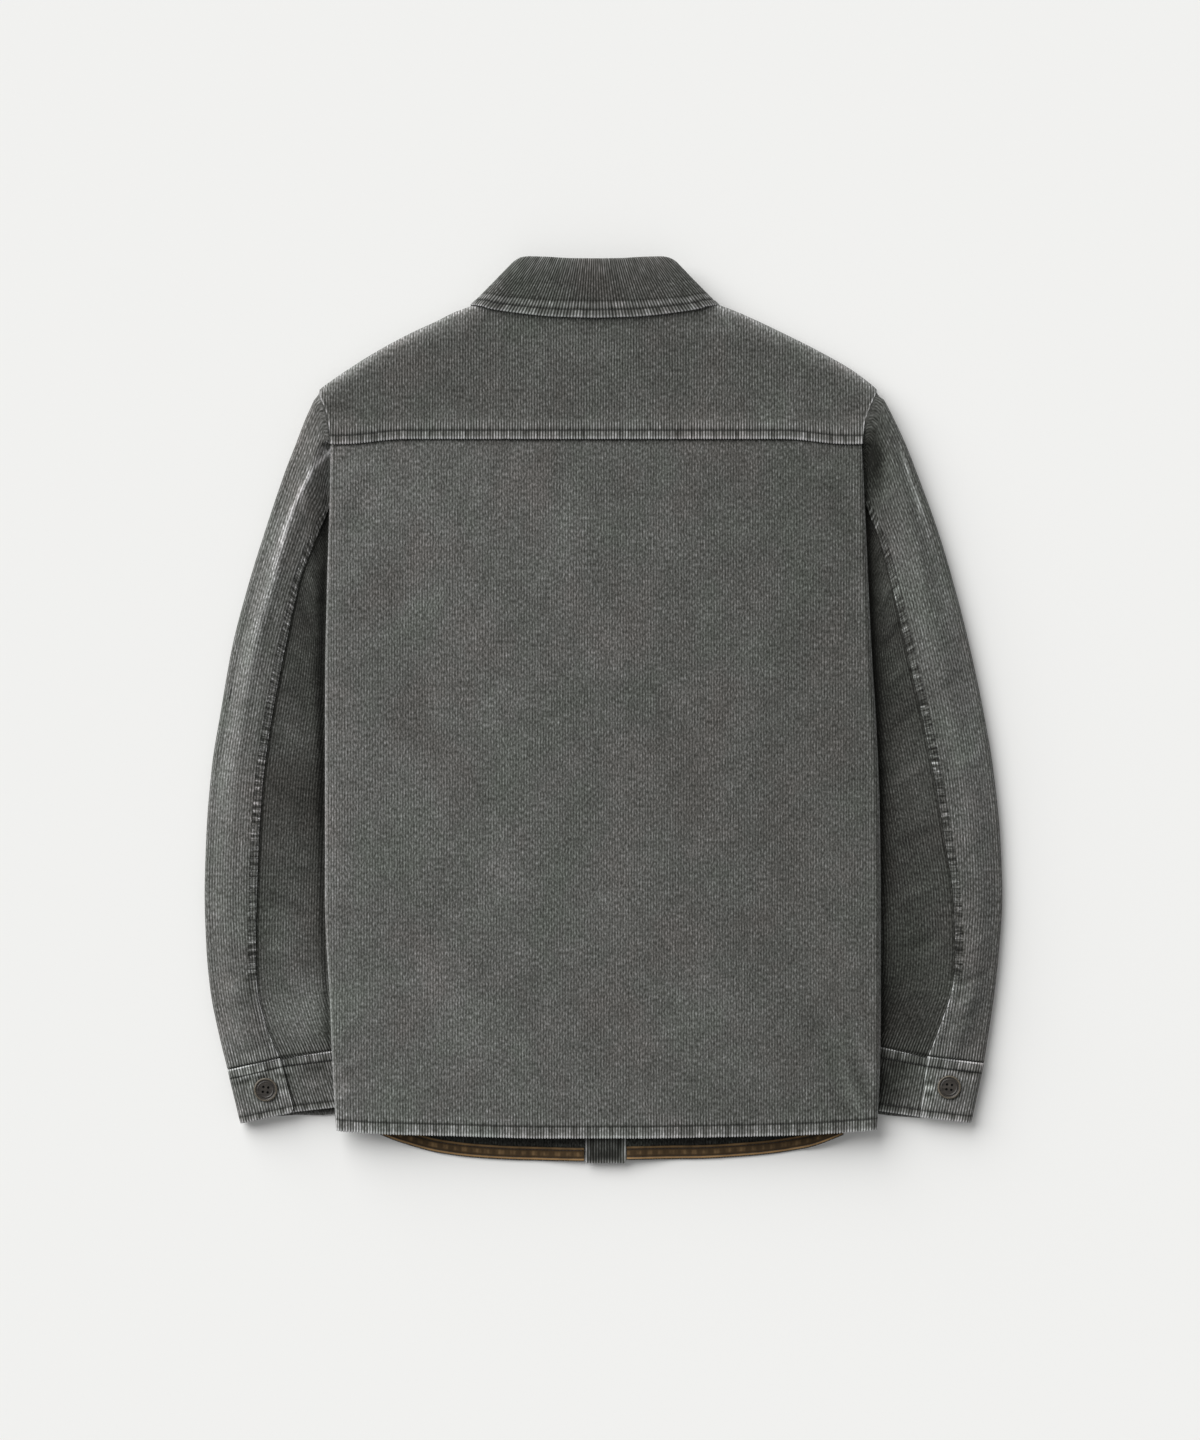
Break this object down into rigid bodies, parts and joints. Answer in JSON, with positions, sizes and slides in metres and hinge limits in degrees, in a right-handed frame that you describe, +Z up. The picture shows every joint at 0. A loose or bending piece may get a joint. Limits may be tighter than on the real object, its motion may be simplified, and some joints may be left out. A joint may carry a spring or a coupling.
{
  "type": "shacket (overshirt) laid flat face down",
  "caption": "Long-sleeved corduroy overshirt with a back yoke, fold-over collar, buttoned cuffs and a curved front hem, laid flat on its front.",
  "frame": {"origin": "middle of the garment's outline on the surface that it lies on", "axes": "+Y from hem to collar, +Z up from the surface through the back, +X towards the wearer's right sleeve"},
  "size_m": [0.7025, 0.7975, 0.027],
  "materials": {
    "corduroy": "washed cotton corduroy, faded on the wales and seams",
    "hem_tape": "plain woven cotton tape",
    "button": "satin"
  },
  "bodies": {
    "root": {"back": "corduroy", "yoke": "corduroy", "front_left": "corduroy", "front_right": "corduroy", "placket_left": "corduroy", "placket_right": "corduroy", "collar_fall": "corduroy", "collar_stand": "corduroy", "sleeve_top_left": "corduroy", "sleeve_under_left": "corduroy", "sleeve_top_right": "corduroy", "sleeve_under_right": "corduroy", "cuff_left": "corduroy", "cuff_right": "corduroy", "hem_tape_left": "hem_tape", "hem_tape_right": "hem_tape", "cuff_button_left": "button", "cuff_button_right": "button", "front_button_1": "button", "front_button_2": "button", "front_button_3": "button", "front_button_4": "button", "front_button_5": "button", "front_button_6": "button", "front_button_7": "button"}
  },
  "joints": []
}
